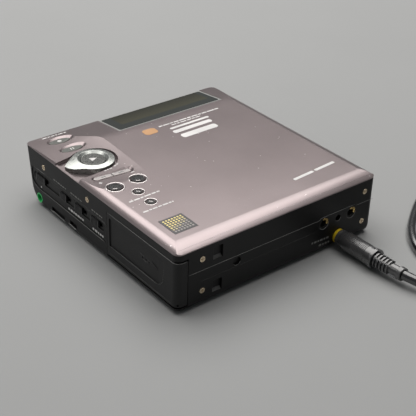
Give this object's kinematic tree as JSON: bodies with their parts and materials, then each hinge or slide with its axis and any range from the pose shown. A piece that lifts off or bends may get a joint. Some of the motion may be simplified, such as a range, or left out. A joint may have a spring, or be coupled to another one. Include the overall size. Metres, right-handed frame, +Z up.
{
  "type": "portable minidisc player",
  "caption": "Pocket-size square disc recorder with a metal top, display facet, jog dial and keys, side slide switches, battery door, front disc slot, rear jacks and a plugged-in power lead.",
  "frame": {"origin": "bottom centre of the player's own box, on the table it stands on; the power lead isn't counted", "axes": "+X towards the side with the slide switches and battery door, +Y towards the rear face with the jacks, +Z up through the metal cover"},
  "size_m": [0.2239, 0.1995, 0.0298],
  "materials": {
    "cover_metal": "satin metallic lacquer, plum grey",
    "shell_black": "fine-grained moulded plastic",
    "door_black": "matt moulded plastic",
    "window": "smoked, polished",
    "lcd": "olive grey liquid crystal cell",
    "key_grey": "semi-gloss, light plum grey",
    "key_black": "semi-gloss black",
    "dial_grey": "satin, turned rim",
    "knob_grey": "ribbed, matt",
    "badge": "satin with a printed dot pattern",
    "board": "green circuit board",
    "plate": "plated sheet",
    "steel": "ground",
    "brass": "plated",
    "screw": "bronze-tinted plating",
    "battery": "wrapped cell",
    "yellow": "moulded",
    "green": "moulded",
    "cord": "glossy black jacket",
    "foot": "matt"
  },
  "bodies": {
    "casing": {"bottom_cover": "shell_black", "side_frame": "shell_black", "top_cover": "cover_metal", "badge_plate": "badge", "display_bezel": "key_black", "display_window": "window", "lcd_cell": "lcd", "side_switch_panel": "shell_black", "side_switch_board": "board", "key_board": "board", "battery_box": "shell_black", "battery_pack": "battery", "battery_contacts": "brass", "disc_door_pin": "steel", "chassis": "plate", "spindle_motor": "plate", "guide_rods": "steel", "sled_motor": "plate", "main_board": "board", "dc_socket": "key_black", "rear_jacks": "shell_black", "jack_contacts": "brass", "phones_jack": "key_black", "phones_ring": "green", "case_screws": "screw", "bottom_screws": "screw", "rubber_feet": "foot", "plug_barrel": "steel", "plug_ring": "yellow", "dc_plug": "cord", "strain_relief": "cord", "dc_cord": "cord", "cord_coil": "cord", "dc_cord_tail": "cord", "wall_adapter": "key_black", "adapter_blades": "brass"},
    "stop_key": {"stop_button": "key_grey"},
    "pause_key": {"pause_button": "key_grey"},
    "skip_back_key": {"skip_back_button": "key_grey"},
    "skip_forward_key": {"skip_forward_button": "key_grey"},
    "volume_up_key": {"volume_up_button": "key_black"},
    "volume_down_key": {"volume_down_button": "key_black"},
    "mode_key": {"mode_button": "key_black"},
    "display_key": {"display_button": "key_black"},
    "play_key": {"play_button": "dial_grey"},
    "sync_knob": {"sync_switch": "knob_grey"},
    "limiter_knob": {"limiter_switch": "knob_grey"},
    "hold_knob": {"hold_switch": "knob_grey"},
    "open_knob": {"open_switch": "knob_grey"},
    "jog_dial": {"jog_wheel": "dial_grey"},
    "door_carrier": {"door_carriage": "door_black", "door_hinge_pin": "steel"},
    "door_leaf": {"battery_door": "door_black"},
    "disc_flap": {"disc_door": "door_black"},
    "disc_tray": {"disc_holder": "plate"},
    "spindle": {"turntable": "key_black"},
    "sled": {"optical_sled": "plate"},
    "lens": {"lens_holder": "key_black"},
    "head": {"head_arm": "plate"},
    "screw": {"lead_screw": "steel"}
  },
  "joints": [
    {"name": "stop_press", "type": "slide", "parent": "casing", "child": "stop_key", "axis": [0, 0, -1], "range_m": [0, 0.0006], "stiffness_N_per_m": 400, "springref_m": -0.0005},
    {"name": "pause_press", "type": "slide", "parent": "casing", "child": "pause_key", "axis": [0, 0, -1], "range_m": [0, 0.0006], "stiffness_N_per_m": 400, "springref_m": -0.0005},
    {"name": "skip_back_press", "type": "slide", "parent": "casing", "child": "skip_back_key", "axis": [0, 0, -1], "range_m": [0, 0.0006], "stiffness_N_per_m": 400, "springref_m": -0.0005},
    {"name": "skip_forward_press", "type": "slide", "parent": "casing", "child": "skip_forward_key", "axis": [0, 0, -1], "range_m": [0, 0.0006], "stiffness_N_per_m": 400, "springref_m": -0.0005},
    {"name": "volume_up_press", "type": "slide", "parent": "casing", "child": "volume_up_key", "axis": [0, 0, -1], "range_m": [0, 0.0006], "stiffness_N_per_m": 400, "springref_m": -0.0005},
    {"name": "volume_down_press", "type": "slide", "parent": "casing", "child": "volume_down_key", "axis": [0, 0, -1], "range_m": [0, 0.0006], "stiffness_N_per_m": 400, "springref_m": -0.0005},
    {"name": "mode_press", "type": "slide", "parent": "casing", "child": "mode_key", "axis": [0, 0, -1], "range_m": [0, 0.0006], "stiffness_N_per_m": 400, "springref_m": -0.0005},
    {"name": "display_press", "type": "slide", "parent": "casing", "child": "display_key", "axis": [0, 0, -1], "range_m": [0, 0.0006], "stiffness_N_per_m": 400, "springref_m": -0.0005},
    {"name": "play_press", "type": "slide", "parent": "casing", "child": "play_key", "axis": [0, 0, -1], "range_m": [0, 0.0005], "stiffness_N_per_m": 400, "springref_m": -0.0005},
    {"name": "sync_slide", "type": "slide", "parent": "casing", "child": "sync_knob", "axis": [0, 1, 0], "range_m": [0, 0.004]},
    {"name": "limiter_slide", "type": "slide", "parent": "casing", "child": "limiter_knob", "axis": [0, 1, 0], "range_m": [0, 0.0035]},
    {"name": "hold_slide", "type": "slide", "parent": "casing", "child": "hold_knob", "axis": [0, 1, 0], "range_m": [0, 0.004]},
    {"name": "open_slide", "type": "slide", "parent": "casing", "child": "open_knob", "axis": [0, 1, 0], "range_m": [0, 0.0035]},
    {"name": "jog_turn", "type": "hinge", "parent": "casing", "child": "jog_dial", "pos_m": [0.038, -0.0232, 0.0285], "axis": [0, 0, 1], "range_deg": [-15, 15], "stiffness_Nm_per_rad": 0.01},
    {"name": "door_slide", "type": "slide", "parent": "casing", "child": "door_carrier", "axis": [0, 1, 0], "range_m": [0, 0.0035]},
    {"name": "door_hinge", "type": "hinge", "parent": "door_carrier", "child": "door_leaf", "pos_m": [0.0513, 0.03, 0.0046], "axis": [0, 1, 0], "range_deg": [0, 95]},
    {"name": "disc_door_hinge", "type": "hinge", "parent": "casing", "child": "disc_flap", "pos_m": [-0.01, -0.05341, 0.0135], "axis": [1, 0, 0], "range_deg": [0, 80]},
    {"name": "holder_tilt", "type": "hinge", "parent": "casing", "child": "disc_tray", "pos_m": [-0.01, 0.02, 0.016], "axis": [-1, 0, 0], "range_deg": [0, 2.2]},
    {"name": "turntable_spin", "type": "hinge", "parent": "casing", "child": "spindle", "pos_m": [-0.01, -0.017, 0.0105], "axis": [0, 0, 1], "continuous": true},
    {"name": "sled_slide", "type": "slide", "parent": "casing", "child": "sled", "axis": [0, 1, 0], "range_m": [0, 0.013]},
    {"name": "lens_focus", "type": "slide", "parent": "sled", "child": "lens", "axis": [0, 0, 1], "range_m": [-0.0003, 0.0003], "stiffness_N_per_m": 60},
    {"name": "head_lift", "type": "hinge", "parent": "sled", "child": "head", "pos_m": [-0.01, 0.0195, 0.0189], "axis": [-1, 0, 0], "range_deg": [0, 3]},
    {"name": "lead_screw_spin", "type": "hinge", "parent": "casing", "child": "screw", "pos_m": [0.008, 0.02, 0.0094], "axis": [0, 1, 0], "range_deg": [0, 2600]}
  ],
  "couplings": [
    {"joint": "lead_screw_spin", "follows": "sled_slide", "rad_per_m": 3141.6},
    {"joint": "holder_tilt", "follows": "disc_door_hinge", "ratio": 0.0275}
  ]
}
